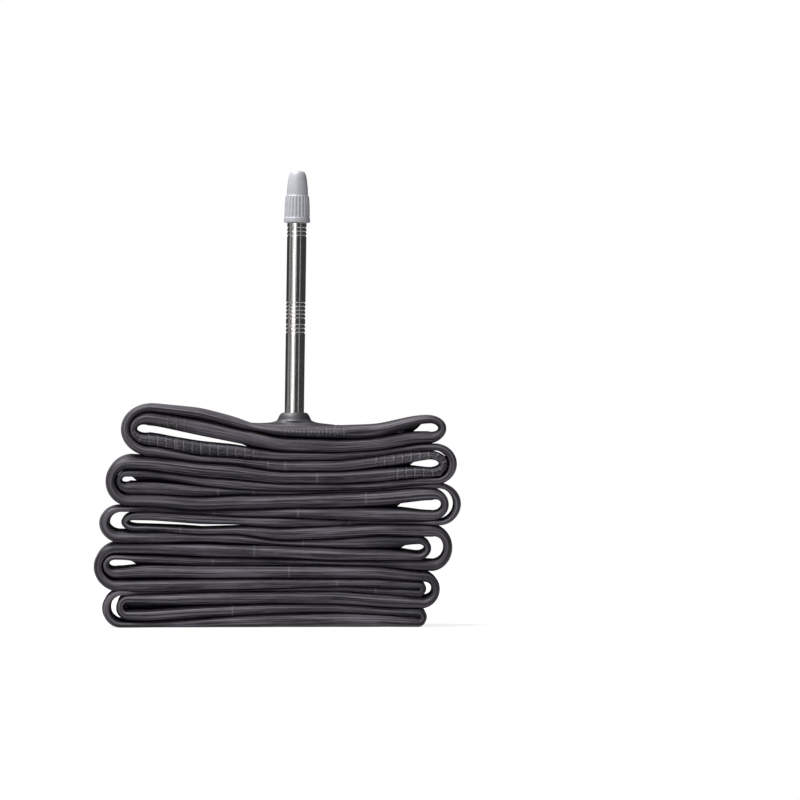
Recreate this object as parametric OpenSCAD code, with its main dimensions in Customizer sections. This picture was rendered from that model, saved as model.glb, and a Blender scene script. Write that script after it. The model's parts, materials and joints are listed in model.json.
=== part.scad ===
// Bicycle inner tube with a long smooth Presta valve, packed flat and folded zigzag into a stack.
// The flattened tube is one closed loop. Its twenty passes lie on each other and are joined at the
// left and at the right by nested bends. The valve stands up from the middle of the top pass.

/* [Tube] */
// Width of the tube when it is pressed flat, along Y
flat_w = 27; // [22:1:34]
// Thickness of the butyl wall
wall = 0.7; // [0.6:0.05:0.8]
// Least space between two passes
pass_gap = 0.3; // [0.2:0.05:0.4]
// Greatest thickness of the tube where it turns round a bend
bend_t = 2.2; // [2:0.05:2.25]

/* [Valve stem] */
// Place of the valve along the top pass
valve_x = 5; // [4:0.5:8]
// Lean of the valve towards +X, in degrees
lean = 0.8; // [0:0.1:1.5]
// Stem diameter
stem_d = 6; // [5.9:0.05:6.1]
// Height of the stem's shoulder above the tube, where the cap rests
shoulder_h = 62.6; // [62.6:1:80]
// Diameter of the thread that takes the cap or a pump
thread_d = 5.2; // [5.1:0.05:5.25]
// Length of that thread
thread_len = 5.8; // [5.5:0.1:6]
// Diameter of the foot that is moulded into the rubber base
foot_d = 8.4; // [7.5:0.1:9]

/* [Rubber base] */
// Length of the oval pad along X
pad_len = 26; // [24:1:27]
// Width of the oval pad along Y
pad_w = 18; // [16:1:22]
// Height of the pad
pad_h = 1.2; // [1.1:0.05:1.4]
// Height of the collar's top above the tube
collar_h = 3.8; // [3.5:0.1:5]
// Collar diameter at the pad
collar_d = 10.3; // [10:0.1:12]
// Collar diameter at its top
collar_top_d = 7.7; // [7:0.1:9]

/* [Core and cap] */
// Diameter of the valve pin
pin_d = 1.6; // [1.4:0.05:1.7]
// Running clearance round the pin and under the cap, on the radius
run_clear = 0.05; // [0.02:0.01:0.08]
// Diameter of the lock nut
nut_d = 4.1; // [3.8:0.1:4.3]
// Height of the dust cap
cap_h = 16; // [16:0.5:18]
// Diameter of the cap's rim
cap_rim_d = 8.1; // [8:0.1:8.6]
// Number of flutes round the cap
cap_flutes = 22; // [16:1:24]

/* [Hidden] */
$fn = 64;
eps = 0.01;

// --- The fold ---

// Stations along X at which the passes are measured
STATION = [-38, -23, -9, 20, 42];

// Thickness of each pass at the five stations, from the top pass to the bottom one
PASS_T = [
    [2.2, 3.1, 3.7, 4.3, 3.1],
    [4.2, 5.2, 4.0, 3.7, 3.8],
    [3.4, 3.9, 2.7, 2.1, 1.8],
    [3.1, 1.8, 2.5, 3.0, 3.4],
    [4.0, 4.3, 3.6, 3.2, 3.3],
    [2.8, 2.4, 2.0, 1.8, 1.8],
    [2.8, 2.7, 1.8, 1.8, 1.8],
    [3.5, 4.0, 3.8, 3.7, 3.8],
    [1.8, 1.8, 2.1, 3.0, 3.2],
    [2.6, 2.9, 2.6, 1.8, 1.8],
    [1.8, 1.8, 2.8, 3.5, 3.2],
    [1.9, 1.8, 1.9, 2.4, 2.4],
    [3.6, 4.0, 3.5, 3.5, 2.4],
    [2.4, 2.1, 1.9, 1.8, 3.0],
    [3.9, 3.8, 3.5, 3.4, 3.0],
    [3.2, 3.0, 2.7, 2.1, 1.8],
    [1.8, 1.8, 1.8, 1.8, 2.0],
    [2.8, 3.0, 3.0, 3.3, 3.3],
    [3.2, 3.4, 2.8, 2.1, 2.1],
    [1.8, 2.6, 3.8, 4.2, 3.0]
];

// Where passes stand off the one below by more than the least gap: pass number, extra space
HOLLOW = [
    [1, [0, 0, 0, 0, 1.2]],
    [2, [2.3, 1.8, 0, 0, 0.1]],
    [4, [0, 0, 0, 0, 1.0]],
    [6, [1.2, 0, 0, 0, 0]],
    [8, [0, 0, 0, 0, 2.1]],
    [10, [1.7, 0.9, 0, 0, 0]],
    [12, [0, 0.2, 0, 0, 1.2]],
    [13, [0.1, 0, 0, 0, 0]],
    [14, [0.3, 0, 0, 0, 0]],
    [15, [0.3, 0, 0, 0, 0]],
    [18, [0.6, 0, 0, 0, 0]]
];

// The order in which the loop runs through the passes, to the right and to the left in turn
ROUTE = [1, 2, 3, 6, 7, 10, 11, 14, 15, 18, 19, 20, 17, 16, 13, 12, 9, 8, 5, 4];

// Bends, from the top: where the bend starts and how far its middle line reaches.
// The outer bend joins the first and the last of four passes, the inner one the two between.
LEFT_OUTER = [[-39, -46.8], [-46, -51.8], [-48.5, -53], [-49.5, -55.1], [-48, -52.6]];
LEFT_INNER = [[-40, -44.2], [-46, -49.2], [-43.5, -46.6], [-50, -52.6], [-46, -48.9]];
RIGHT_OUTER = [[48.5, 53.7], [49.5, 55.3], [47.5, 52.4], [44.5, 48.6]];
RIGHT_INNER = [[46.6, 50.5], [47.5, 51.4], [43, 46], [43.4, 44.6]];
TOP_LOOP = [46.6, 50.1];
BOTTOM_LOOP = [43.3, 44.8];

PASSES = len(PASS_T);
PASS_STEPS = 14;
BEND_STEPS = 9;
LAST = len(STATION) - 1;

function sum(v) = len(v) == 0 ? 0 : [for (x = v) 1] * v;
function unit(v) = v / norm(v);
function ease(s) = s * s * (3 - 2 * s);

// The stretch between stations that holds x, and the value of a row of station values at x
function stretch(x) = sum([for (i = [1:LAST - 1]) x >= STATION[i] ? 1 : 0]);
function share(x, i) = ease(max(0, min(1, (x - STATION[i]) / (STATION[i + 1] - STATION[i]))));
function at_x(row, x) = let (i = stretch(x)) row[i] + (row[i + 1] - row[i]) * share(x, i);

function extra(n) = let (hit = [for (h = HOLLOW) if (h[0] == n) h[1]]) hit == [] ? [0, 0, 0, 0, 0] : hit[0];
function full_t(n, x) = at_x(PASS_T[n - 1], x);
function space_under(n, x) = n == PASSES ? 0 : pass_gap + at_x(extra(n), x);
function pass_z(n, x) = space_under(n, x) + full_t(n, x) / 2
    + sum([for (m = [n + 1:1:PASSES]) full_t(m, x) + space_under(m, x)]);

// A pass thins to the bend's thickness between its last station and the start of the bend
function thinned(t) = min(t, bend_t);
function pass_t(n, x, left_x, right_x) = let (
        t = full_t(n, x),
        past = x < STATION[0] ? (STATION[0] - x) / (STATION[0] - left_x)
             : x > STATION[LAST] ? (x - STATION[LAST]) / (right_x - STATION[LAST]) : 0
    ) t + (thinned(t) - t) * ease(past);

// The bend between passes a and b on the right (side 1) or on the left (side -1)
function bend(a, b, side) = let (top = min(a, b), outer = abs(a - b) == 3)
    side < 0 ? (outer ? LEFT_OUTER[(top - 1) / 4] : LEFT_INNER[(top - 2) / 4])
    : top == 1 ? TOP_LOOP : top == PASSES - 1 ? BOTTOM_LOOP
    : (outer ? RIGHT_OUTER[(top - 3) / 4] : RIGHT_INNER[(top - 4) / 4]);

// One point of the middle line is [place, direction to the loop's outside, thickness]
function pass_points(k) = let (
        n = ROUTE[k],
        side = k % 2 == 0 ? 1 : -1,
        from = bend(ROUTE[(k + PASSES - 1) % PASSES], n, -side)[0],
        to = bend(n, ROUTE[(k + 1) % PASSES], side)[0]
    ) [for (s = [0:PASS_STEPS]) let (x = from + (to - from) * s / PASS_STEPS)
        [[x, pass_z(n, x)], [0, side], pass_t(n, x, min(from, to), max(from, to))]];

function bend_points(k) = let (
        a = ROUTE[k],
        b = ROUTE[(k + 1) % PASSES],
        side = k % 2 == 0 ? 1 : -1,
        ends = bend(a, b, side),
        x0 = ends[0],
        reach = abs(ends[1] - x0),
        za = pass_z(a, x0),
        zb = pass_z(b, x0),
        rise = (za - zb) / 2,
        ta = thinned(full_t(a, x0)),
        tb = thinned(full_t(b, x0))
    ) [for (s = [1:BEND_STEPS - 1]) let (turn = 90 - 180 * s / BEND_STEPS,
            outward = unit([side * cos(turn) / reach, sin(turn) / rise]))
        [[x0 + side * reach * cos(turn), (za + zb) / 2 + rise * sin(turn)],
         outward * side * sign(rise),
         ta + (tb - ta) * s / BEND_STEPS]];

LOOP = [for (k = [0:PASSES - 1]) for (p = concat(pass_points(k), bend_points(k))) p];

// The loop's outline, offset from the middle line by half its thickness less an inset
function edge(side, inset) = [for (p = LOOP) p[0] + p[1] * side * (p[2] / 2 - inset)];

tube_top = pass_z(1, STATION[2]) + full_t(1, STATION[2]) / 2;

// --- The valve, in heights above the tube ---

stem_r = stem_d / 2;
thread_r = thread_d / 2;
foot_r = foot_d / 2;
foot_h = 0.9;
foot_low = 0.4;
// The stem is thicker inside the rubber, up to just under the collar's top
root_r = stem_r + 0.3;
root_top = collar_h - 0.1;
stem_top = shoulder_h + thread_len;
air_hole_r = 1.3;
// The chamber takes the core, and below it the seal when the pin is pressed down
chamber_r = 2;
chamber_low = stem_top - 17.4;
groove_pitch = 1.2;
groove_w = 0.5;
groove_depth = 0.2;
// Groups of ring grooves: height of the lowest groove, number of grooves
GROOVES = [[28.6, 3], [33, 5], [58.6, 3]];

core_r = chamber_r - 0.03;
core_head_r = 2.4;
core_head_h = 3.2;
core_flats = 4.2;
core_thread_len = 6;
core_neck_r = 1.4;
core_neck_len = 6;
core_low = stem_top - core_thread_len - core_neck_len;
gasket_h = 2;
head_top = stem_top + core_head_h;

pin_r = pin_d / 2;
rest_gap = 0.05;
seal_h = 1.4;
seal_r = 1.4;
washer_h = 0.6;
washer_r = 1.15;
nut_h = 2.8;
nut_low = head_top + rest_gap;
nut_grooves = 16;
pin_low = core_low - rest_gap - seal_h - washer_h - 0.3;
pin_top = nut_low + nut_h + 1.6;
pin_tip_r = pin_r + 0.15;

cap_low = shoulder_h + rest_gap;
rim_h = 1.4;
skirt_h = 6.7;
skirt_r = 3.85;
nose_r = 3.3;
nose_top_r = 2.75;
flute_r = 0.3;

// The valve's own frame: its origin on the tube's top, its axis leaning
module on_valve(h = 0) translate([valve_x, 0, tube_top]) rotate([0, lean, 0]) translate([0, 0, h]) children();

module loop_prism(side, inset, width)
    rotate([90, 0, 0]) linear_extrude(width, center = true) polygon(edge(side, inset));

module loop_ring(inset, width) {
    difference() {
        loop_prism(1, inset, width);
        loop_prism(-1, inset, width + 2);
    }
}

// One hollow tube: the flattened wall, the thin air space in it, and the valve hole
module tube() color([0.2, 0.19, 0.2]) {
    difference() {
        loop_ring(0, flat_w);
        loop_ring(wall, flat_w - 2 * wall);
        on_valve(-1.5) cylinder(r = air_hole_r, h = 3);
    }
}

// Oval pad with sloping edges, cut flat along its length and round at its ends
module pad() {
    low_r = pad_w / 2;
    top_r = low_r - 2;
    half = pad_len / 2 - low_r;
    translate([valve_x, 0, tube_top]) {
        for (side = [-1, 1]) translate([side * half, 0, 0]) cylinder(r1 = low_r, r2 = top_r, h = pad_h);
        rotate([90, 0, 90]) linear_extrude(2 * half, center = true)
            polygon([[-low_r, 0], [low_r, 0], [top_r, pad_h], [-top_r, pad_h]]);
    }
}

module foot() on_valve(foot_low) cylinder(r = foot_r, h = foot_h);

// Rubber base: pad and collar, moulded round the stem and its foot
module valve_base() color([0.17, 0.16, 0.17]) {
    difference() {
        union() {
            pad();
            on_valve(pad_h / 2)
                cylinder(r1 = collar_d / 2 + 0.3, r2 = collar_top_d / 2, h = collar_h - pad_h / 2);
        }
        foot();
        on_valve(foot_low) cylinder(r = root_r, h = root_top - foot_low);
        on_valve(foot_low) cylinder(r = stem_r, h = collar_h);
        on_valve(-1) cylinder(r = air_hole_r, h = 3);
    }
}

// Outline of the stem from its foot to its thread, with the ring grooves
function groove(h) = [[stem_r, h - groove_w / 2], [stem_r - groove_depth, h - groove_w / 4],
                      [stem_r - groove_depth, h + groove_w / 4], [stem_r, h + groove_w / 2]];
STEM_OUTLINE = concat(
    [[air_hole_r, foot_low], [foot_r, foot_low], [foot_r, foot_low + foot_h],
     [root_r, foot_low + foot_h], [root_r, root_top], [stem_r, root_top]],
    [for (g = GROOVES) for (i = [0:g[1] - 1]) for (p = groove(g[0] + i * groove_pitch)) p],
    [[stem_r, shoulder_h], [thread_r, shoulder_h], [thread_r, stem_top - 0.4],
     [thread_r - 0.4, stem_top], [chamber_r, stem_top], [chamber_r, chamber_low], [air_hole_r, chamber_low]]);

// Nickel-plated brass stem, hollow all the way, with the chamber for the core at its top
module valve_stem() color([0.74, 0.72, 0.7]) on_valve() rotate_extrude() polygon(STEM_OUTLINE);

// Removable valve core: head with two spanner flats, screwed part and neck, bored for the pin
module core_body() color([0.8, 0.68, 0.4]) on_valve() difference() {
    union() {
        translate([0, 0, core_low]) cylinder(r = core_neck_r, h = core_neck_len + eps);
        translate([0, 0, stem_top - core_thread_len]) cylinder(r = core_r, h = core_thread_len + eps);
        intersection() {
            translate([0, 0, stem_top]) cylinder(r = core_head_r, h = core_head_h);
            translate([-core_head_r, -core_flats / 2, stem_top])
                cube([2 * core_head_r, core_flats, core_head_h]);
        }
    }
    translate([0, 0, core_low - 1]) cylinder(r = pin_r + run_clear, h = head_top);
}

// Soft ring round the core's neck that seals the core in the stem
module core_gasket() color([0.85, 0.85, 0.82]) on_valve(stem_top - core_thread_len - gasket_h) difference() {
    cylinder(r = chamber_r - 0.02, h = gasket_h);
    translate([0, 0, -1]) cylinder(r = core_neck_r + 0.02, h = gasket_h + 2);
}

// Valve pin, with a head at each end: it carries the seal below and the lock nut above
module core_pin() color([0.8, 0.68, 0.4]) on_valve() {
    translate([0, 0, pin_low]) cylinder(r = pin_r, h = pin_top - pin_low);
    translate([0, 0, pin_low - 0.3]) cylinder(r = pin_tip_r, h = 0.3 + eps);
    translate([0, 0, pin_top - eps]) cylinder(r1 = pin_tip_r, r2 = pin_tip_r - 0.25, h = 0.5);
}

// Rubber seal that closes the core's lower end
module pin_seal() color([0.12, 0.12, 0.12]) on_valve(core_low - rest_gap - seal_h) difference() {
    cylinder(r = seal_r, h = seal_h);
    translate([0, 0, -1]) cylinder(r = pin_r, h = seal_h + 2);
}

// Washer under the seal
module pin_washer() color([0.8, 0.68, 0.4]) on_valve(core_low - rest_gap - seal_h - washer_h) difference() {
    cylinder(r = washer_r, h = washer_h);
    translate([0, 0, -1]) cylinder(r = pin_r, h = washer_h + 2);
}

// Knurled lock nut on the pin's thread
module lock_nut() color([0.8, 0.68, 0.4]) on_valve(nut_low) difference() {
    rotate_extrude() polygon([[pin_r + run_clear, 0], [nut_d / 2 - 0.3, 0], [nut_d / 2, 0.3],
        [nut_d / 2, nut_h - 0.3], [nut_d / 2 - 0.3, nut_h], [pin_r + run_clear, nut_h]]);
    for (i = [0:nut_grooves - 1]) rotate([0, 0, i * 360 / nut_grooves])
        translate([nut_d / 2 + 0.05, 0, -1]) cylinder(r = 0.2, h = nut_h + 2, $fn = 24);
}

// Plastic dust cap: fluted skirt over a plain rim, and a tapered nose. It is closed at the top
module dust_cap() color([0.68, 0.68, 0.72]) on_valve(cap_low) difference() {
    rotate_extrude() polygon([
        [thread_r + run_clear, 0], [cap_rim_d / 2, 0], [cap_rim_d / 2, rim_h], [skirt_r, rim_h + 0.2],
        [skirt_r, rim_h + skirt_h], [nose_r, rim_h + skirt_h + 0.5], [nose_top_r, cap_h - 1.6],
        [nose_top_r - 0.3, cap_h - 0.6], [nose_top_r - 0.9, cap_h], [0, cap_h],
        [0, cap_h - 1.3], [1.5, cap_h - 1.3], [1.9, cap_h - 3.6], [thread_r + run_clear, cap_h - 5]]);
    for (i = [0:cap_flutes - 1]) rotate([0, 0, (i + 0.5) * 360 / cap_flutes])
        translate([skirt_r + 0.1, 0, rim_h + 0.3]) cylinder(r = flute_r, h = skirt_h - 0.6, $fn = 24);
}

tube();
valve_base();
valve_stem();
core_body();
core_gasket();
core_pin();
pin_seal();
pin_washer();
lock_nut();
dust_cap();
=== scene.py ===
"""Looks of a folded bicycle inner tube with a long Presta valve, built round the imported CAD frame.

Lengths in the tables are millimetres in the row frame. Meshes are scaled to metres when they are made.
"""

import json
import math

import bmesh
import bpy
import numpy as np
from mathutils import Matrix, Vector


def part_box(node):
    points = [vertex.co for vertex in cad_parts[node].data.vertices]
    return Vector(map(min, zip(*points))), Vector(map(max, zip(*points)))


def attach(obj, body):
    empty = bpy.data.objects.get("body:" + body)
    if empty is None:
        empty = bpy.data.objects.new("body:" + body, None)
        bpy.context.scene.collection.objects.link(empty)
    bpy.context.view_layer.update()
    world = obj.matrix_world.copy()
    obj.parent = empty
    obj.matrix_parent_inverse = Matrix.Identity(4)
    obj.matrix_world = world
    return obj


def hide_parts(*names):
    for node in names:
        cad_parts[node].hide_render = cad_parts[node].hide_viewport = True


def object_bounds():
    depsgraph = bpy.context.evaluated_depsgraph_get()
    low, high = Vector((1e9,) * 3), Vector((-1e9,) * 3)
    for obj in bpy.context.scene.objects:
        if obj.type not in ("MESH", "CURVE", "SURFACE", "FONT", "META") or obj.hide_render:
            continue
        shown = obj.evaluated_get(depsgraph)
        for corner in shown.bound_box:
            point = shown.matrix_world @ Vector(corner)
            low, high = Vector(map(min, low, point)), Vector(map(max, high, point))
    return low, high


MM = 0.001

# --- The fold, as seen along its front edge ---

HALF_W = 13.5
STATIONS = (-39, -24, -12, -8, 0.5, 19, 31, 43.5)

# Thickness of each pass at the stations, from the top pass to the bottom one
THICK = np.array([
    (2.5, 3.4, 3.1, 1.9, 3.7, 4.4, 4.0, 3.1),
    (4.3, 5.2, 4.7, 4.8, 4.3, 4.0, 4.0, 4.0),
    (3.7, 4.3, 3.7, 3.1, 2.8, 2.4, 1.8, 2.1),
    (3.4, 2.1, 2.4, 2.7, 3.4, 3.4, 3.4, 3.4),
    (4.3, 4.6, 4.6, 4.3, 3.7, 3.7, 4.3, 3.7),
    (2.0, 2.6, 2.8, 2.6, 2.3, 2.0, 2.1, 2.1),
    (3.8, 3.3, 1.8, 1.6, 1.1, 0.8, 0.6, 0.9),
    (3.8, 4.4, 4.6, 4.5, 4.3, 4.6, 4.6, 4.6),
    (1.7, 1.1, 2.1, 2.3, 2.7, 3.7, 4.4, 3.7),
    (2.6, 3.1, 2.5, 2.7, 3.1, 1.8, 0.5, 0.9),
    (1.8, 2.1, 2.5, 3.0, 4.0, 4.0, 3.7, 4.0),
    (3.7, 2.2, 2.8, 2.4, 1.5, 2.8, 3.7, 2.8),
    (3.1, 4.0, 4.0, 4.0, 4.0, 4.0, 3.7, 2.8),
    (2.3, 2.4, 2.3, 2.2, 2.1, 1.5, 1.8, 3.4),
    (4.0, 4.0, 4.1, 4.1, 4.0, 4.0, 3.7, 3.4),
    (3.7, 3.7, 3.4, 3.3, 3.1, 2.4, 2.7, 2.1),
    (0.6, 0.5, 0.6, 0.7, 0.9, 1.5, 2.1, 2.4),
    (3.1, 4.1, 4.0, 3.9, 3.7, 4.0, 4.0, 3.7),
    (3.4, 4.0, 3.4, 3.3, 3.1, 2.5, 2.2, 2.5),
    (1.8, 2.8, 3.7, 3.9, 4.3, 4.6, 4.0, 3.1),
])

# Open space under a pass at the stations
SPACE = {
    1: (0, 0, 0, 0, 0, 0, 0, 1.5),
    2: (2.5, 1.8, 0.5, 0.7, 0, 0, 0, 0.3),
    4: (0, 0, 0, 0, 0, 0, 0.3, 1.2),
    6: (1.5, 0, 0, 0, 0, 0, 0, 0),
    8: (0, 0, 0, 0, 0, 0, 0.6, 2.1),
    10: (1.5, 0.95, 0.45, 0.2, 0, 0, 0, 0),
    12: (0, 0.6, 0.3, 0.2, 0, 0, 0.3, 1.5),
    13: (0.6, 0.3, 0, 0, 0, 0, 0, 0),
    14: (0.6, 0, 0, 0, 0, 0, 0, 0),
    15: (0.6, 0, 0, 0, 0, 0, 0, 0),
    18: (1.8, 0, 0, 0, 0, 0, 0, 0),
    19: (0.3, 0, 0, 0, 0, 0, 0, 0),
}

# The order in which the loop runs through the passes, to the right and to the left in turn
ROUTE = (1, 2, 3, 6, 7, 10, 11, 14, 15, 18, 19, 20, 17, 16, 13, 12, 9, 8, 5, 4)
PASSES = len(ROUTE)

# Bends from the top: (where the bend starts, how far its middle line reaches, thickness at its tip)
LEFT_OUTER = (
    (-39, -46.85, 2.45), (-46, -51.35, 2.9), (-48.5, -53.3, 2.9), (-49.5, -55.2, 2.45), (-48, -52.7, 2.4),
)
LEFT_INNER = (
    (-40, -44.5, 2.1), (-46, -48.8, 1.4), (-43.5, -47, 1.9), (-50, -52.85, 1.6), (-46, -48.4, 2.3),
)
RIGHT_OUTER = ((48.5, 53.7, 2.4), (49.5, 55.15, 2.0), (47.5, 52.3, 2.35), (44.5, 48.5, 2.3))
RIGHT_INNER = ((46.6, 51, 2.5), (47.5, 51.4, 1.95), (43, 46, 1.9), (43.4, 44.3, 2.3))
TOP_LOOP = (46.6, 50.6, 2.05)
BOTTOM_LOOP = (43.3, 44.5, 2.3)

# A pass is never thinner than this where it enters a bend
BEND_THIN = 1.6

# Eyes where the space under a pass widens by pressing its neighbours: (pass, centre, half width, amount)
EYES = ((1, 46.5, 5, 1.0), (4, 48.5, 5, 1.5), (8, 48, 7, 1.2), (12, 43, 5, 1.3), (14, -50, 6, 2.3))

RING_STEP = 1.2
BEND_RINGS = 28
GRID = np.arange(-62, 62.01, 0.25)

# --- The valve, in heights above the tube ---

STEM_R = 3.0
SHOULDER = 62.6
THREAD_R = 2.6
THREAD_LEN = 5.8
THREAD_PITCH = 1.06
CHAMBER_R = 2.0
GROOVES = ((28.6, 3), (33, 5), (58.6, 3))
GROOVE_PITCH = 1.2
CAP_LOW = SHOULDER + 0.05
FLUTES = 22

# --- Looks ---

BUTYL_DARK = (0.0050, 0.0043, 0.0056, 1)
BUTYL_LIGHT = (0.108, 0.096, 0.116, 1)
TALC = (0.36, 0.35, 0.36, 1)
RIB_PITCH = 2.7
SEAM_PITCH = 1.15

# Metres. The floor's radius, and the camera as it stood before the object
FLOOR_R = 0.42
FLOOR_GLOW = 0.85  # the floor's own light
MIRROR_LOSS = 0.6  # how much less of it reflections see
CAMERA_PLACE = (-0.0006, -1.35, 0.0699)
CAMERA_TURN = (90, 0, -1.63)
CAMERA_LENS = 196

# Softboxes: name, angle from the front, distance, height, size and radiance
AIM = (0.005, 0, 0.07)
SOFTBOXES = (
    ("soft_front_left", -27, 1.6, 0.62, (1.9, 1.3), 0.6),
    ("bright_front_left", -25, 1.5, 0.6, (0.5, 1.4), 2.4),
    ("strip_right", 46, 1.5, 0.3, (0.2, 0.9), 0.5),
    ("grey_left", -82, 1.6, 0.4, (0.9, 0.9), 0.25),
)
TOP_BOX_PLACE = (-0.6, -0.2, 1.65)


# --- Small helpers ---

def smoothstep(value):
    value = np.clip(value, 0.0, 1.0)
    return value * value * (3 - 2 * value)


def in_range(places, low, high, fade=1.5):
    """1 between low and high, fading to 0 at both."""
    return smoothstep((places - low) / fade) * smoothstep((high - places) / fade)


def waves(value, seed, lengths):
    """A smooth repeatable wobble between about -1 and 1, with the given wavelengths."""
    random = np.random.default_rng(seed)
    total = np.zeros_like(value, dtype=float)
    for length in lengths:
        total += np.sin(2 * math.pi * value / length + random.uniform(0, 2 * math.pi))
    return total / len(lengths)


def mesh_object(name, verts, faces, material, uv=None, attributes=None):
    """A smooth-shaded mesh from vertices in millimetres. uv is one pair per face corner."""
    mesh = bpy.data.meshes.new(name)
    mesh.from_pydata((np.asarray(verts) * MM).tolist(), [], faces)
    mesh.polygons.foreach_set("use_smooth", [True] * len(mesh.polygons))
    if uv is not None:
        layer = mesh.uv_layers.new(name="lay")
        layer.data.foreach_set("uv", np.asarray(uv, np.float32).ravel())
    for key, values in (attributes or {}).items():
        attribute = mesh.attributes.new(key, "FLOAT", "POINT")
        attribute.data.foreach_set("value", np.asarray(values, np.float32).ravel())
    mesh.update()
    obj = bpy.data.objects.new(name, mesh)
    bpy.context.scene.collection.objects.link(obj)
    obj.data.materials.append(material)
    return obj


def piece(obj, body, slot, *nodes):
    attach(obj, body)
    if nodes:
        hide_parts(*nodes)
    return obj


# --- Node materials ---

class Graph:
    """A node material or world under construction: each method adds a node and gives its output."""

    def __init__(self, owner):
        owner.use_nodes = True
        self.tree = owner.node_tree
        self.tree.nodes.clear()

    def node(self, kind, **inputs):
        made = self.tree.nodes.new(kind)
        for key, value in inputs.items():
            self.feed(made.inputs[key.replace("_", " ")], value)
        return made

    def feed(self, socket, value):
        if isinstance(value, bpy.types.NodeSocket):
            self.tree.links.new(value, socket)
        else:
            socket.default_value = value

    def math(self, operation, first, second=0.0, third=0.0):
        made = self.tree.nodes.new("ShaderNodeMath")
        made.operation = operation
        for socket, value in zip(made.inputs, (first, second, third)):
            self.feed(socket, value)
        return made.outputs[0]

    def ramp(self, value, low, high, to_low=0.0, to_high=1.0):
        made = self.tree.nodes.new("ShaderNodeMapRange")
        made.interpolation_type = "SMOOTHSTEP"
        for socket, item in zip(made.inputs, (value, low, high, to_low, to_high)):
            self.feed(socket, item)
        return made.outputs[0]

    def noise(self, vector, scale, detail=4.0, rough=0.55):
        made = self.node("ShaderNodeTexNoise", Vector=vector, Scale=scale, Detail=detail, Roughness=rough)
        return made.outputs["Fac"]

    def stretch(self, vector, scale):
        made = self.tree.nodes.new("ShaderNodeMapping")
        self.feed(made.inputs["Vector"], vector)
        made.inputs["Scale"].default_value = scale
        return made.outputs[0]

    def mix(self, share, first, second):
        made = self.tree.nodes.new("ShaderNodeMix")
        made.data_type = "RGBA"
        self.feed(made.inputs[0], share)
        self.feed(made.inputs[6], first)
        self.feed(made.inputs[7], second)
        return made.outputs[2]

    def attribute(self, name):
        made = self.tree.nodes.new("ShaderNodeAttribute")
        made.attribute_name = name
        return made.outputs["Fac"]

    def position(self):
        return self.tree.nodes.new("ShaderNodeTexCoord").outputs["Object"]

    def uv(self):
        made = self.tree.nodes.new("ShaderNodeUVMap")
        made.uv_map = "lay"
        return made.outputs[0]

    def split(self, vector):
        return self.node("ShaderNodeSeparateXYZ", Vector=vector).outputs

    def bump(self, height, distance, strength=1.0):
        made = self.node("ShaderNodeBump", Height=height, Distance=distance, Strength=strength)
        return made.outputs[0]

    def surface(self, shader):
        out = self.tree.nodes.new("ShaderNodeOutputMaterial")
        self.tree.links.new(shader, out.inputs["Surface"])


def principled(graph, **inputs):
    """The shader with constants set on its own sockets, wired to the output."""
    made = graph.tree.nodes.new("ShaderNodeBsdfPrincipled")
    for key, value in inputs.items():
        graph.feed(made.inputs[key.replace("_", " ")], value)
    graph.surface(made.outputs[0])
    return made


def pulse(graph, value, pitch, width):
    """1 on a thin line at every whole pitch of value, 0 between."""
    turn = graph.math("FRACT", graph.math("DIVIDE", value, pitch))
    away = graph.math("MULTIPLY", graph.math("ABSOLUTE", graph.math("SUBTRACT", turn, 0.5)), pitch)
    return graph.ramp(away, width, width * 0.35)


def butyl_streaks(graph, uv, grain, bloom):
    """Share of the light tone: lengthwise streaks, lighter lines and painted shade along thin creases, and
    painted shade in small pits round the valve's pad.
    """
    streak = graph.noise(graph.stretch(uv, (0.035, 1.6, 1)), 1.0, 5.0, 0.6)
    fine_streak = graph.noise(graph.stretch(uv, (0.25, 5.0, 1)), 1.0, 4.0, 0.6)
    cloud = graph.noise(graph.stretch(uv, (0.05, 0.25, 1)), 1.0, 3.0, 0.5)
    crease = graph.noise(graph.stretch(uv, (0.010, 2.1, 1)), 1.0, 2.0, 0.4)
    wide = graph.ramp(streak, 0.44, 0.66, 0.0, 0.75)
    light = graph.math("ADD", wide, graph.ramp(fine_streak, 0.45, 0.75, 0.0, 0.35))
    light = graph.math("ADD", light, graph.ramp(cloud, 0.4, 0.7, 0.0, 0.3))
    # Thin lighter lines along the creases.
    light = graph.math("ADD", light, graph.ramp(crease, 0.54, 0.62, 0.0, 0.35))
    # Painted shade: darker thin lengthwise lines in the creases of the flattened tube.
    light = graph.math("MULTIPLY", light, graph.ramp(crease, 0.36, 0.44, 0.25, 1.0))
    # Painted shade: darker in the low points of the pad's pits, which the bump also sinks.
    pit_shade = graph.math("MULTIPLY", graph.ramp(grain, 0.50, 0.36), bloom)
    light = graph.math("ADD", light, graph.math("MULTIPLY", bloom, 0.15))
    light = graph.math("SUBTRACT", light, graph.math("MULTIPLY", pit_shade, 0.8))
    light = graph.math("MINIMUM", graph.math("MAXIMUM", light, 0.0), 1.0)
    return light, streak, fine_streak, cloud


def butyl_ribs(graph, uv, along, across):
    """Moulded ribs where the mesh asks for them, slightly uneven, and the shade beside each."""
    ribbed = graph.attribute("rib")
    patchy = graph.noise(graph.stretch(uv, (0.55, 0.8, 1)), 1.0, 3.0, 0.6)
    wander = graph.math("ADD", along, graph.math("MULTIPLY", patchy, 1.6))
    broken = graph.math("MULTIPLY", ribbed, graph.ramp(patchy, 0.35, 0.55, 0.35, 1.0))
    rib = graph.math("MULTIPLY", pulse(graph, wander, RIB_PITCH, 0.24), broken)
    rung = graph.math("MULTIPLY", pulse(graph, graph.math("ADD", across, wander), 1.7, 0.2), broken)
    rib = graph.math("MAXIMUM", rib, graph.math("MULTIPLY", rung, 0.3))
    beside = pulse(graph, graph.math("ADD", wander, 0.42), RIB_PITCH, 0.34)
    return rib, graph.math("MULTIPLY", beside, ribbed)


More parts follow.
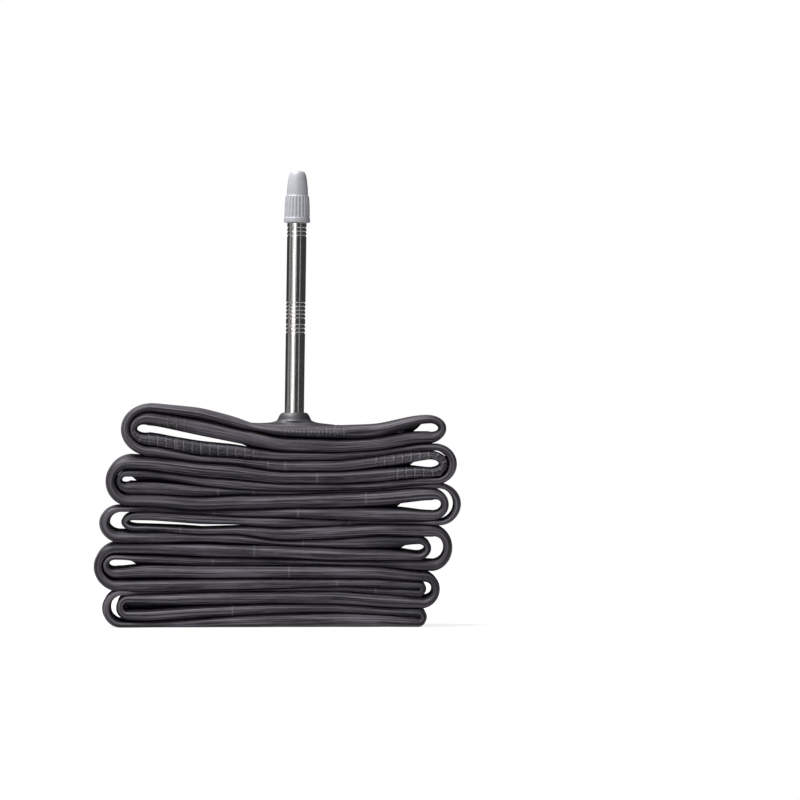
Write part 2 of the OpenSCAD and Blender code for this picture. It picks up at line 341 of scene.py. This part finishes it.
def butyl_chalk(graph, uv, along, across, rib, talc):
    """Share of pale dust: on ribs, ticks, the row of marks beside the valve, and stray specks."""
    speck = graph.ramp(graph.noise(graph.stretch(uv, (2.2, 2.2, 1)), 1.0, 2.0, 0.5), 0.68, 0.76)
    seam = graph.math("MULTIPLY", pulse(graph, along, SEAM_PITCH, 0.28), graph.attribute("seam"))
    dots = graph.math("MULTIPLY", seam, graph.ramp(graph.math("ABSOLUTE", across), 0.55, 0.2))
    chalk = graph.math("MULTIPLY", rib, 0.28)
    for mark, share in ((graph.attribute("tick"), 0.18), (dots, 0.36), (speck, 0.18), (talc, 0.3)):
        chalk = graph.math("MAXIMUM", chalk, graph.math("MULTIPLY", mark, share))
    return chalk


def butyl_material():
    """Black butyl with lengthwise streaks, ribs and a little talc."""
    mat = bpy.data.materials.new("butyl")
    graph = Graph(mat)
    uv = graph.uv()
    along, across, _ = graph.split(uv)
    bloom = graph.attribute("bloom")
    grain = graph.noise(graph.stretch(uv, (2.2, 2.6, 1)), 1.0, 3.0, 0.7)
    talc = graph.math("MULTIPLY", graph.ramp(grain, 0.58, 0.68), bloom)
    light, streak, fine_streak, cloud = butyl_streaks(graph, uv, grain, bloom)
    rib, shade = butyl_ribs(graph, uv, along, across)
    chalk = butyl_chalk(graph, uv, along, across, rib, talc)
    color = graph.mix(light, BUTYL_DARK, BUTYL_LIGHT)
    color = graph.mix(chalk, color, TALC)
    color = graph.mix(graph.math("MULTIPLY", shade, 0.6), color, (0.012, 0.011, 0.013, 1))
    height = graph.math("ADD", graph.math("MULTIPLY", fine_streak, 0.25), rib)
    height = graph.math("ADD", height, graph.math("MULTIPLY", streak, 0.5))
    height = graph.math("ADD", height, graph.math("MULTIPLY", graph.math("MULTIPLY", grain, bloom), 5.0))
    normal = graph.bump(height, 0.00022, 0.6)
    rough = graph.ramp(cloud, 0.3, 0.7, 0.46, 0.60)
    principled(graph, Base_Color=color, Roughness=rough, Normal=normal, IOR=1.45, Specular_IOR_Level=0.28)
    return mat


def moulded_rubber(name, dark, light, rough):
    """Smooth moulded rubber with a faint mottle."""
    mat = bpy.data.materials.new(name)
    graph = Graph(mat)
    place = graph.position()
    cloud = graph.noise(place, 180.0, 4.0, 0.6)
    grain = graph.noise(place, 1500.0, 3.0, 0.6)
    color = graph.mix(graph.ramp(cloud, 0.35, 0.75), dark, light)
    normal = graph.bump(grain, 0.00006, 0.5)
    rough = graph.ramp(grain, 0.3, 0.7, rough - 0.05, rough + 0.07)
    principled(graph, Base_Color=color, Roughness=rough, Normal=normal, IOR=1.45)
    return mat


def turned_metal(name, low, high, rough):
    """Turned metal: fine rings round the axis and small changes of sheen."""
    mat = bpy.data.materials.new(name)
    graph = Graph(mat)
    place = graph.position()
    rings = graph.noise(graph.stretch(place, (60, 60, 5200)), 1.0, 3.0, 0.6)
    cloud = graph.noise(place, 260.0, 3.0, 0.5)
    color = graph.mix(graph.ramp(cloud, 0.35, 0.7), low, high)
    sheen = graph.ramp(rings, 0.3, 0.75, rough * 0.7, rough * 1.5)
    normal = graph.bump(rings, 0.000003, 0.5)
    principled(graph, Base_Color=color, Metallic=1.0, Roughness=sheen, Normal=normal)
    return mat


def plastic_material():
    """Milky grey moulded plastic of the dust cap."""
    mat = bpy.data.materials.new("cap_plastic")
    graph = Graph(mat)
    place = graph.position()
    cloud = graph.noise(place, 120.0, 3.0, 0.5)
    grain = graph.noise(place, 2200.0, 2.0, 0.5)
    color = graph.mix(graph.ramp(cloud, 0.3, 0.7), (0.30, 0.305, 0.33, 1), (0.36, 0.365, 0.39, 1))
    normal = graph.bump(grain, 0.00003, 0.4)
    principled(graph, Base_Color=color, Roughness=0.38, Normal=normal, IOR=1.48)
    return mat


def soft_white(name):
    """Smooth off-white sealing ring."""
    mat = bpy.data.materials.new(name)
    graph = Graph(mat)
    cloud = graph.noise(graph.position(), 400.0, 3.0, 0.5)
    color = graph.mix(cloud, (0.70, 0.70, 0.66, 1), (0.82, 0.82, 0.78, 1))
    principled(graph, Base_Color=color, Roughness=0.45)
    return mat


# --- The folded tube ---

def on_grid(row):
    """A row of station values on the fine grid, with its corners eased."""
    line = np.interp(GRID, STATIONS, row)
    reach = np.arange(-24, 25)
    kernel = np.exp(-0.5 * (reach / 9.0) ** 2)
    padded = np.pad(line, 24, mode="edge")
    return np.convolve(padded, kernel / kernel.sum(), mode="valid")


def space_rows():
    rows = np.zeros((PASSES, len(STATIONS)))
    for number, values in SPACE.items():
        rows[number - 1] = values
    return rows


# Where the space under a pass can be looked through: (from, to) along X
OPEN = {
    1: (42, 60), 2: (-60, -9), 4: (40, 60), 6: (-60, -43),
    8: (36, 60), 10: (-60, -9), 12: (37, 60), 14: (-60, -43),
}


def closed_share():
    """1 where the middle of the stack closes the space under a pass, 0 where it stays open."""
    rows = np.ones((PASSES, len(GRID)))
    for number, (low, high) in OPEN.items():
        rows[number - 1] = 1 - in_range(GRID, low, high, 2)
    return rows


class Stack:
    """Thickness and middle height of every pass along X, for one strip of the flattened tube.
    A closed stack fills the spaces that can't be looked through from the front."""

    def __init__(self, seed, amount, closed):
        thick = np.array([on_grid(row) for row in THICK])
        space = np.array([on_grid(row) for row in space_rows()])
        for number, centre, half, amount_open in EYES:
            eye = amount_open * np.exp(-((GRID - centre) / half) ** 2)
            space[number - 1] += eye
            thick[number - 1] -= eye / 2
            thick[number] -= eye / 2
        if closed:
            filled = closed_share() * space
            thick += filled
            space -= filled
        total = thick.sum(axis=0)
        for number in range(PASSES):
            thick[number] *= 1 + amount * waves(GRID, seed + number, (67, 41, 23))
        thick *= total / thick.sum(axis=0)
        pitch = thick + space
        below = np.cumsum(pitch[::-1], axis=0)[::-1] - pitch
        self.thick = thick
        self.middle = below + space + thick / 2

    def t(self, number, x):
        return np.interp(x, GRID, self.thick[number - 1])

    def z(self, number, x):
        return np.interp(x, GRID, self.middle[number - 1])


def bend_ends(first, second, side):
    """(start, reach, tip thickness) of the bend between two passes, on the right (1) or on the left (-1)."""
    top = min(first, second)
    outer = abs(first - second) == 3
    if side < 0:
        return LEFT_OUTER[(top - 1) // 4] if outer else LEFT_INNER[(top - 2) // 4]
    if top == 1:
        return TOP_LOOP
    if top == PASSES - 1:
        return BOTTOM_LOOP
    return RIGHT_OUTER[(top - 3) // 4] if outer else RIGHT_INNER[(top - 4) // 4]


def pass_layout(k):
    """Number, direction and the ends of the k-th pass of the route."""
    number = ROUTE[k]
    side = 1 if k % 2 == 0 else -1
    start = bend_ends(ROUTE[k - 1], number, -side)[0]
    end = bend_ends(number, ROUTE[(k + 1) % PASSES], side)[0]
    return number, side, start, end


# Moulded ribs on a pass: (from, to, strength). Then the soft part round the valve, and the row of marks
RIBBED = {1: (7, 22, 0.7), 2: (-37, -27, 0.5), 3: (-43, -5, 1.0), 4: (28, 60, 1.0), 5: (34, 60, 1.0)}
PAD_RANGE = (-9, 24)
SEAM_RANGE = (0.5, 20.5)

# Single light ticks left by the mould: (pass, place along X)
TICKS = (
    (3, -31), (4, -3), (4, 2.2), (7, -18.4), (7, -7.6), (9, -19.6), (9, 6.1), (12, 7.7), (13, -7.3),
    (14, -20), (15, 3.4), (10, 22), (11, -30), (16, 18), (17, 30), (19, -14), (5, 12), (8, 27),
)


def pass_rings(k):
    """X of every ring of a pass, with extra rings at its ticks, and the tick value there."""
    number, _, start, end = pass_layout(k)
    count = int(abs(end - start) / RING_STEP)
    places = list(np.linspace(start, end, count + 1))
    ticks = [x for n, x in TICKS if n == number]
    places = [x for x in places if all(abs(x - c) > 0.45 for c in ticks)]
    for centre in ticks:
        places += [centre + offset for offset in (-0.4, -0.16, 0, 0.16, 0.4)]
    places = np.array(sorted(places, reverse=end < start))
    value = np.zeros_like(places)
    for centre in ticks:
        value = np.maximum(value, 1 - np.clip(np.abs(places - centre) / 0.3, 0, 1))
    return places, value


def trace(stack, further, swell):
    """Middle line of the whole loop for one stack: place, direction to the outside, thickness.
    The tube keeps its thickness up to a bend and is pressed thinner round it."""
    rows = []
    for k in range(PASSES):
        number, side, start, end = pass_layout(k)
        places, _ = pass_rings(k)
        away = np.minimum(np.abs(places - start), np.abs(places - end))
        full = stack.t(number, places)
        thickness = full + np.maximum(BEND_THIN - full, 0) * smoothstep(1 - away / 6)
        for x, z, t in zip(places, stack.z(number, places), thickness):
            rows.append((x, z, 0, side, t))
        following = ROUTE[(k + 1) % PASSES]
        x0, far, tip = bend_ends(number, following, side)
        reach = abs(far - x0) + further
        za, zb = stack.z(number, x0), stack.z(following, x0)
        rise = (za - zb) / 2
        base = tip + swell
        for step in range(1, BEND_RINGS):
            share = step / BEND_RINGS
            turn = math.pi * (0.5 - share)
            outward = np.array([side * math.cos(turn) / reach, math.sin(turn) / rise])
            outward *= side * np.sign(rise) / np.linalg.norm(outward)
            at_end = max(BEND_THIN, float(stack.t(number if share < 0.5 else following, x0)))
            t = base + (at_end - base) * abs(1 - 2 * share) ** 1.6
            rows.append((x0 + side * reach * math.cos(turn), (za + zb) / 2 + rise * math.sin(turn),
                         outward[0], outward[1], t))
    return np.array(rows)


def ring_marks():
    """Per ring: recess of thin passes, ribs, seam, ticks, bloom, and the depth of the rounded edge."""
    recess, rib, seam, tick, bloom, deep, thinning = ([] for _ in range(7))
    for k in range(PASSES):
        number, _, start, end = pass_layout(k)
        places, value = pass_rings(k)
        away = np.minimum(np.abs(places - start), np.abs(places - end))
        full = np.array([np.interp(x, STATIONS, THICK[number - 1]) for x in places])
        recess += list(0.75 * np.clip(3.3 - full, 0, 3) * smoothstep((away - 1) / 9))
        tick += list(value)
        low, high, share = RIBBED.get(number, (0, 0, 0))
        rib += list(in_range(places, low, high) * share)
        pad = in_range(places, *PAD_RANGE, 5) if number == 1 else 0 * places
        seam += list(in_range(places, *SEAM_RANGE) if number == 1 else 0 * places)
        bloom += list(pad)
        deep += list(pad)
        thinning += list(0.2 * (1 - pad) * smoothstep((away - 2) / 8) if number == 1 else 0 * places)
        following = ROUTE[(k + 1) % PASSES]
        pair = {number, following}
        ribbed = 1.0 if pair in ({2, 3}, {4, 5}) else 0.0
        for step in range(1, BEND_RINGS):
            share = step / BEND_RINGS
            recess.append(0)
            tick.append(0)
            rib.append(ribbed * (share if following == 3 else 1))
            seam.append(0)
            bloom.append(0)
            deep.append(0)
            thinning.append(0)
    return [np.array(item, float) for item in (recess, rib, seam, tick, bloom, deep, thinning)]


LOBE = np.linspace(90, -90, 15)
FLAT = 8
ROUND = 2.05


def lobe_shape():
    """Across a rounded edge from its top to its bottom: share of its depth, share of half the thickness."""
    angle = np.radians(LOBE)
    depth = 1 - np.abs(np.cos(angle)) ** (2 / ROUND)
    height = np.sign(np.sin(angle)) * np.abs(np.sin(angle)) ** (2 / ROUND)
    return depth, height


def tube_sections():
    """Vertices of all rings in millimetres, the length along the loop and the masks."""
    front = trace(FRONT, 0.0, 0.0)
    back = trace(BACK, 0.6, 0.0)
    recess, rib, seam, tick, bloom, deep, thinning = ring_marks()
    step = np.linalg.norm(np.diff(front[:, :2], axis=0, append=front[:1, :2]), axis=1)
    along = np.concatenate([[0], np.cumsum(step)])
    run = along[:-1]
    front_y = -HALF_W + 0.1 + recess + 0.12 * (1 + waves(run, 5, (173, 71, 37)))
    back_y = HALF_W - 0.1 - 0.8 * recess - 0.2 * (1 + waves(run, 9, (151, 83, 43)))
    puff = 1 + 0.02 * waves(run, 11, (61, 29, 17))
    front[:, 4] *= 0.955 * puff
    back[:, 4] *= 0.985 * puff
    middle = trace(MIDDLE, 0.3, 0.0)
    middle[:, 4] *= 1.02 - thinning
    depth_f = 0.6 * front[:, 4] + 0.6 + 5.0 * deep
    depth_b = 0.6 * back[:, 4] + 0.6 + 3.0 * deep
    shape_y, shape_z = lobe_shape()
    columns = []
    for s, h in zip(shape_y, shape_z):
        columns.append((front_y + depth_f * s, h))
    inner_f, inner_b = front_y + depth_f, back_y - depth_b
    for i in range(1, FLAT + 1):
        columns.append((inner_f + (inner_b - inner_f) * i / (FLAT + 1), -1.0))
    for s, h in zip(shape_y[::-1], shape_z[::-1]):
        columns.append((back_y - depth_b * s, h))
    for i in range(1, FLAT + 1):
        columns.append((inner_b + (inner_f - inner_b) * i / (FLAT + 1), 1.0))
    rings = np.zeros((len(front), len(columns), 3))
    for j, (y, h) in enumerate(columns):
        w_front = 1 - smoothstep((y - inner_f) / 5)
        w_back = smoothstep((y - inner_b + 5) / 5)
        w_mid = np.clip(1 - w_front - w_back, 0, 1)
        x = w_front * front[:, 0] + w_mid * middle[:, 0] + w_back * back[:, 0]
        z = w_front * front[:, 1] + w_mid * middle[:, 1] + w_back * back[:, 1]
        t = w_front * front[:, 4] + w_mid * middle[:, 4] + w_back * back[:, 4]
        rings[:, j, 0] = x + front[:, 2] * h * t / 2
        rings[:, j, 1] = y
        rings[:, j, 2] = z + front[:, 3] * h * t / 2
    return rings, along, (rib, seam, tick, bloom)


def tube_mesh(material):
    rings, along, marks = tube_sections()
    count, around = rings.shape[:2]
    closed = np.concatenate([rings, rings[:, :1]], axis=1)
    spread = np.linalg.norm(np.diff(closed, axis=1), axis=2)
    across = np.concatenate([np.zeros((count, 1)), np.cumsum(spread, axis=1)], axis=1)
    tip = len(LOBE) // 2
    across = across - across[:, tip:tip + 1]
    i, j = np.meshgrid(np.arange(count), np.arange(around), indexing="ij")
    i2, j2 = (i + 1) % count, (j + 1) % around
    faces = np.stack([i * around + j, i * around + j2, i2 * around + j2, i2 * around + j], axis=-1)
    u = np.stack([along[i], along[i], along[i + 1], along[i + 1]], axis=-1)
    v = np.stack([across[i, j], across[i, j + 1], across[i2, j + 1], across[i2, j]], axis=-1)
    uv = np.stack([u, v], axis=-1).reshape(-1, 2)
    names = ("rib", "seam", "tick", "bloom")
    attributes = {n: np.repeat(m, around) for n, m in zip(names, marks)}
    return mesh_object("tube_folded", rings.reshape(-1, 3), faces.reshape(-1, 4).tolist(), material,
                       uv, attributes)


# --- Turned parts in the valve's own frame ---

def valve_matrix():
    """The valve's frame: origin on the tube's top, Z along the stem."""
    low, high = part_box("valve_base")
    axis = next(Vector(j["axis"]) for j in frame["joints"] if j["name"] == "cap_lift")
    turn = Vector((0, 0, 1)).rotation_difference(axis).to_matrix()
    origin = Vector(((low.x + high.x) / 2, (low.y + high.y) / 2, low.z)) / MM
    matrix = np.eye(4)
    matrix[:3, :3] = np.array(turn)
    matrix[:3, 3] = origin
    return matrix


def placed(points):
    points = np.asarray(points, float)
    return points @ VALVE[:3, :3].T + VALVE[:3, 3]


def lathe(name, profile, material, segments=64, tweak=None):
    """A closed turned shape from (radius, height) pairs. tweak(angle, radius, height) gives the radius."""
    profile = np.array(profile, float)
    angles = np.arange(segments) * 2 * math.pi / segments
    a, r = np.meshgrid(angles, profile[:, 0], indexing="ij")
    h = np.broadcast_to(profile[:, 1], a.shape)
    if tweak:
        r = tweak(a, r, h)
    points = np.stack([r * np.cos(a), r * np.sin(a), h], axis=-1).reshape(-1, 3)
    rows = len(profile)
    faces = []
    for s in range(segments):
        n = (s + 1) % segments
        for p in range(rows):
            q = (p + 1) % rows
            if profile[p, 0] < 1e-6 and profile[q, 0] < 1e-6:
                continue
            faces.append((s * rows + p, n * rows + p, n * rows + q, s * rows + q))
    obj = mesh_object(name, placed(points), faces, material)
    bpy.context.view_layer.objects.active = obj
    merge(obj)
    return obj


def merge(obj):
    """Joins the points that fall together on the axis and turns all faces outwards."""
    work = bmesh.new()
    work.from_mesh(obj.data)
    bmesh.ops.remove_doubles(work, verts=work.verts, dist=1e-7)
    bmesh.ops.recalc_face_normals(work, faces=work.faces)
    work.to_mesh(obj.data)
    work.free()
    obj.data.polygons.foreach_set("use_smooth", [True] * len(obj.data.polygons))
    edges = obj.modifiers.new("edges", "EDGE_SPLIT")
    edges.split_angle = math.radians(38)


def arc(centre_r, centre_h, radius, start, end, steps=5):
    """Points of a rounded corner, angles in degrees from the outward direction."""
    angles = np.radians(np.linspace(start, end, steps))
    return [(centre_r + radius * math.cos(a), centre_h + radius * math.sin(a)) for a in angles]


def fine(start, end, r, step=0.1):
    count = max(2, int(abs(end - start) / step))
    return [(r, h) for h in np.linspace(start, end, count)]


def thread(low, high, pitch, depth):
    """Cuts a screw thread into the radius between two heights, running out at both ends."""

    def tweak(angle, radius, height):
        turn = (height / pitch - angle / (2 * math.pi)) % 1.0
        tooth = np.abs(turn - 0.5) * 2
        cut = np.clip((tooth - 0.15) / 0.7, 0, 1)
        fade = smoothstep((height - low) / 0.5) * smoothstep((high - height) / 0.5)
        outer = radius > radius.max() - 0.9
        return radius - depth * cut * fade * outer
    return tweak


def groove_points(height):
    out = []
    for angle in np.radians(np.linspace(0, 180, 7)):
        out.append((STEM_R - 0.22 * math.sin(angle), height - 0.27 * math.cos(angle)))
    return out


def stem_piece(material):
    top = SHOULDER + THREAD_LEN
    outline = [(1.3, 0.6), (STEM_R + 0.2, 0.6), (STEM_R + 0.2, 3.0), (STEM_R, 3.1)]
    for start, number in GROOVES:
        for i in range(number):
            outline += groove_points(start + i * GROOVE_PITCH)
    outline += arc(STEM_R - 0.2, SHOULDER - 0.2, 0.2, 0, 90)
    outline += [(THREAD_R + 0.02, SHOULDER)]
    outline += fine(SHOULDER + 0.05, top - 0.35, THREAD_R, 0.08)
    outline += [(THREAD_R - 0.3, top), (CHAMBER_R, top), (CHAMBER_R, top - 2.5), (1.3, top - 2.6)]
    cut = thread(SHOULDER + 0.1, top - 0.1, THREAD_PITCH, 0.22)

    def tweak(angle, radius, height):
        return np.where(height > SHOULDER + 0.02, cut(angle, radius, height), radius)
    return lathe("stem_nickel", outline, material, 96, tweak)


def cap_piece(material):
    rim = 4.05
    outline = [(2.66, 0.0), (rim - 0.25, 0.0)]
    outline += arc(rim - 0.2, 0.2, 0.2, -90, 0)
    outline += arc(rim - 0.12, 1.3, 0.12, 0, 80)
    outline += [(3.9, 1.5), (3.9, 1.9), (3.93, 2.4), (3.92, 3.4), (3.89, 4.6), (3.84, 5.8), (3.78, 6.8),
                (3.72, 7.5), (3.66, 8.0), (3.55, 8.25), (3.36, 8.4), (3.31, 8.6), (3.29, 9.2),
                (3.25, 10.4), (3.14, 11.4), (3.04, 12.2), (2.93, 13.1), (2.78, 14.0), (2.61, 14.7),
                (2.42, 15.2), (2.2, 15.6), (1.9, 15.85), (1.5, 15.97), (0.9, 16.0), (0, 16.0), (0, 14.7),
                (1.5, 14.7), (1.9, 12.4), (2.66, 11.0)]
    outline = [(r, CAP_LOW + h) for r, h in outline]

    def tweak(angle, radius, height):
        zone = smoothstep((height - CAP_LOW - 1.5) / 0.5) * smoothstep((CAP_LOW + 8.3 - height) / 0.4)
        turn = (angle * FLUTES / (2 * math.pi)) % 1.0
        flute = np.clip(np.abs(turn - 0.5) * 2 - 0.25, 0, 0.6) / 0.6
        return radius - 0.22 * smoothstep(1 - flute) * zone * (radius > 3.0)
    return lathe("cap_fluted", outline, material, FLUTES * 12, tweak)


def pin_piece(material):
    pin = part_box("core_pin")
    length = (pin[1].z - VALVE[2, 3] * MM) / MM
    low = (pin[0].z - VALVE[2, 3] * MM) / MM
    outline = [(0, low), (0.95, low + 0.02), (0.95, low + 0.3), (0.78, low + 0.35)]
    outline += fine(length - 9, length - 0.5, 0.8, 0.06)
    outline += [(0.9, length - 0.45), (0.95, length - 0.35), (0.8, length - 0.12), (0.5, length), (0, length)]
    cut = thread(length - 8.8, length - 0.7, 0.5, 0.11)

    def tweak(angle, radius, height):
        return np.where((height > length - 9) & (height < length - 0.6), cut(angle, radius, height), radius)
    return lathe("pin_threaded", outline, material, 48, tweak)


def tube_top_surface(x, y):
    """Height of the top pass's upper side at a place, away from its bends."""
    t = float(FRONT.t(1, x)) * 0.985 * 0.97
    middle = float(FRONT.z(1, x))
    deep = float(in_range(np.array([x], float), *PAD_RANGE, 5)[0])
    reach = 0.5 * t + 0.4 + 5.0 * deep
    past = max(0.0, (abs(y) - (HALF_W - 0.2 - reach)) / reach)
    return middle + t / 2 * (1 - min(past, 1.0) ** ROUND) ** (1 / ROUND)


def base_piece(material):
    """Moulded pad and collar: an oval patch that lies on the tube and swells into the collar."""
    low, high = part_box("valve_base")
    half_x, half_y = (high.x - low.x) / 2 / MM, (high.y - low.y) / 2 / MM
    lean = VALVE[0, 2]
    rows = ((1.0, 0.0, -0.35), (1.0, 0.0, 0.02), (0.985, 0.0, 0.16), (0.95, 0.0, 0.26), (0.85, 0.02, 0.42),
            (0.72, 0.1, 0.62), (0.6, 0.3, 0.82), (0.5, 0.6, 1.0))
    collar = ((5.75, 1.18), (5.45, 1.32), (5.25, 1.55), (5.08, 1.85), (4.9, 2.3), (4.7, 2.75), (4.45, 3.15),
              (4.15, 3.5), (3.9, 3.68), (3.6, 3.78), (3.3, 3.8), (3.12, 3.76), (2.95, 3.6), (2.95, 1.0))
    segments = 96
    points = []
    for s in range(segments):
        a = 2 * math.pi * s / segments
        c, d = math.cos(a), math.sin(a)
        for share, towards, h in rows:
            oval_x = half_x * np.sign(c) * abs(c) ** 0.9
            oval_y = half_y * np.sign(d) * abs(d) ** 0.95
            oval = np.array([oval_x, oval_y]) * share
            ring = np.array([c, d]) * 6.2
            x, y = oval * (1 - towards) + ring * towards
            base = tube_top_surface(VALVE[0, 3] + x, y) - VALVE[2, 3]
            flat = 1 - smoothstep(1 - towards)
            points.append((x, y, base * (1 - flat) + h))
        for r, h in collar:
            points.append((r * c + lean * h, r * d, h))
    count = len(rows) + len(collar)
    faces = []
    for s in range(segments):
        n = (s + 1) % segments
        for p in range(count - 1):
            faces.append((s * count + p, n * count + p, n * count + p + 1, s * count + p + 1))
    obj = mesh_object("base_moulded", np.array(points) + VALVE[:3, 3], faces, material)
    return obj


# --- Floor, light and camera ---

def floor_piece():
    """The floor glows. Polished metal mirrors it dimmer, or the stem would vanish in views from above."""
    low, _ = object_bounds()
    angles = np.arange(96) * 2 * math.pi / 96
    rim = [(FLOOR_R * math.cos(a), FLOOR_R * math.sin(a), low.z) for a in angles]
    mesh = bpy.data.meshes.new("floor")
    mesh.from_pydata(rim, [], [tuple(range(96))])
    obj = bpy.data.objects.new("floor", mesh)
    bpy.context.scene.collection.objects.link(obj)
    mat = bpy.data.materials.new("floor_white")
    graph = Graph(mat)
    shade = graph.noise(graph.position(), 3.0, 2.0, 0.5)
    color = graph.mix(shade, (0.20, 0.20, 0.20, 1), (0.22, 0.22, 0.22, 1))
    mirrored = graph.tree.nodes.new("ShaderNodeLightPath").outputs["Is Glossy Ray"]
    glow = graph.math("MULTIPLY_ADD", mirrored, -MIRROR_LOSS, FLOOR_GLOW)
    principled(graph, Base_Color=color, Roughness=0.95, Emission_Color=(1, 1, 1, 1), Emission_Strength=glow)
    mesh.materials.append(mat)
    return obj


def panel(name, place, aim, size, radiance, color=(1, 1, 1)):
    """A rectangular softbox of the given radiance, in metres. It isn't seen by the camera itself."""
    light = bpy.data.lights.new(name, "AREA")
    light.shape = "RECTANGLE"
    light.size, light.size_y = size
    light.energy = radiance * math.pi * size[0] * size[1]
    light.color = color
    obj = bpy.data.objects.new(name, light)
    bpy.context.scene.collection.objects.link(obj)
    obj.location = place
    obj.rotation_mode = "QUATERNION"
    obj.rotation_quaternion = (Vector(aim) - Vector(place)).to_track_quat("-Z", "Y")
    obj.visible_camera = False
    return obj


def around(azimuth, distance, height):
    """A place round the stem: azimuth in degrees from the camera's side, positive to the right."""
    a = math.radians(azimuth)
    return (distance * math.sin(a), -distance * math.cos(a), height)


def lights():
    for name, angle, distance, height, size, radiance in SOFTBOXES:
        panel(name, around(angle, distance, height), AIM, size, radiance)
    panel("soft_top", TOP_BOX_PLACE, AIM, (1.6, 0.8), 20.0)


def world_light():
    """White behind the object, and a dim surround for everything that the softboxes leave open."""
    world = bpy.data.worlds.new("surround")
    bpy.context.scene.world = world
    graph = Graph(world)
    path = graph.tree.nodes.new("ShaderNodeLightPath").outputs["Is Camera Ray"]
    dim = graph.node("ShaderNodeBackground", Color=(0.9, 0.95, 1, 1), Strength=0.05)
    white = graph.node("ShaderNodeBackground", Color=(1, 1, 1, 1), Strength=1.0)
    mixed = graph.tree.nodes.new("ShaderNodeMixShader")
    graph.tree.links.new(path, mixed.inputs[0])
    graph.tree.links.new(dim.outputs[0], mixed.inputs[1])
    graph.tree.links.new(white.outputs[0], mixed.inputs[2])
    out = graph.tree.nodes.new("ShaderNodeOutputWorld")
    graph.tree.links.new(mixed.outputs[0], out.inputs["Surface"])


def camera():
    data = bpy.data.cameras.new("camera")
    data.lens = CAMERA_LENS
    data.sensor_width = 36
    data.clip_start, data.clip_end = 0.05, 30
    obj = bpy.data.objects.new("camera", data)
    bpy.context.scene.collection.objects.link(obj)
    obj.location = CAMERA_PLACE
    obj.rotation_euler = [math.radians(angle) for angle in CAMERA_TURN]
    bpy.context.scene.camera = obj


# --- Assembly ---

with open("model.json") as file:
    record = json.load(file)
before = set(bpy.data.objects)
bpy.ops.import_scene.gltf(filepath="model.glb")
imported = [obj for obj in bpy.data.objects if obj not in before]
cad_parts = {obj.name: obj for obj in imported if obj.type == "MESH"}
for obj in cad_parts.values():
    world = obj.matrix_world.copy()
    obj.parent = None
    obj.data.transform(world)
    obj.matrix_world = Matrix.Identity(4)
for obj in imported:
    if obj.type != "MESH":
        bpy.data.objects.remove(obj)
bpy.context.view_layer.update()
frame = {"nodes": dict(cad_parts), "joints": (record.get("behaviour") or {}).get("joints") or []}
VALVE = valve_matrix()
FRONT = Stack(20, 0.0, False)
MIDDLE = Stack(40, 0.0, True)
BACK = Stack(60, 0.10, False)

BUTYL = butyl_material()
VALVE_RUBBER = moulded_rubber("valve_rubber", (0.018, 0.0168, 0.0195, 1), (0.042, 0.039, 0.046, 1), 0.5)
SEAL_RUBBER = moulded_rubber("seal_rubber", (0.020, 0.020, 0.020, 1), (0.035, 0.035, 0.035, 1), 0.6)
NICKEL = turned_metal("nickel", (0.70, 0.68, 0.66, 1), (0.78, 0.76, 0.74, 1), 0.13)
BRASS = turned_metal("brass", (0.74, 0.56, 0.28, 1), (0.84, 0.68, 0.38, 1), 0.22)
PLASTIC = plastic_material()
GASKET = soft_white("gasket")

piece(tube_mesh(BUTYL), "tube_and_stem", "butyl", "tube")
piece(base_piece(VALVE_RUBBER), "tube_and_stem", "valve_rubber", "valve_base")
piece(stem_piece(NICKEL), "tube_and_stem", "nickel", "valve_stem")
piece(cap_piece(PLASTIC), "cap", "cap_plastic", "dust_cap")
piece(pin_piece(BRASS), "pin", "brass", "core_pin")

for node, material, slot in (
    ("core_body", BRASS, "brass"),
    ("core_gasket", GASKET, "gasket"),
    ("pin_seal", SEAL_RUBBER, "seal_rubber"),
    ("pin_washer", BRASS, "brass"),
    ("lock_nut", BRASS, "brass"),
):
    shown = frame["nodes"][node]
    shown.data.materials.clear()
    shown.data.materials.append(material)

floor_piece()
lights()
world_light()
camera()
bpy.context.scene.view_settings.view_transform = "Standard"
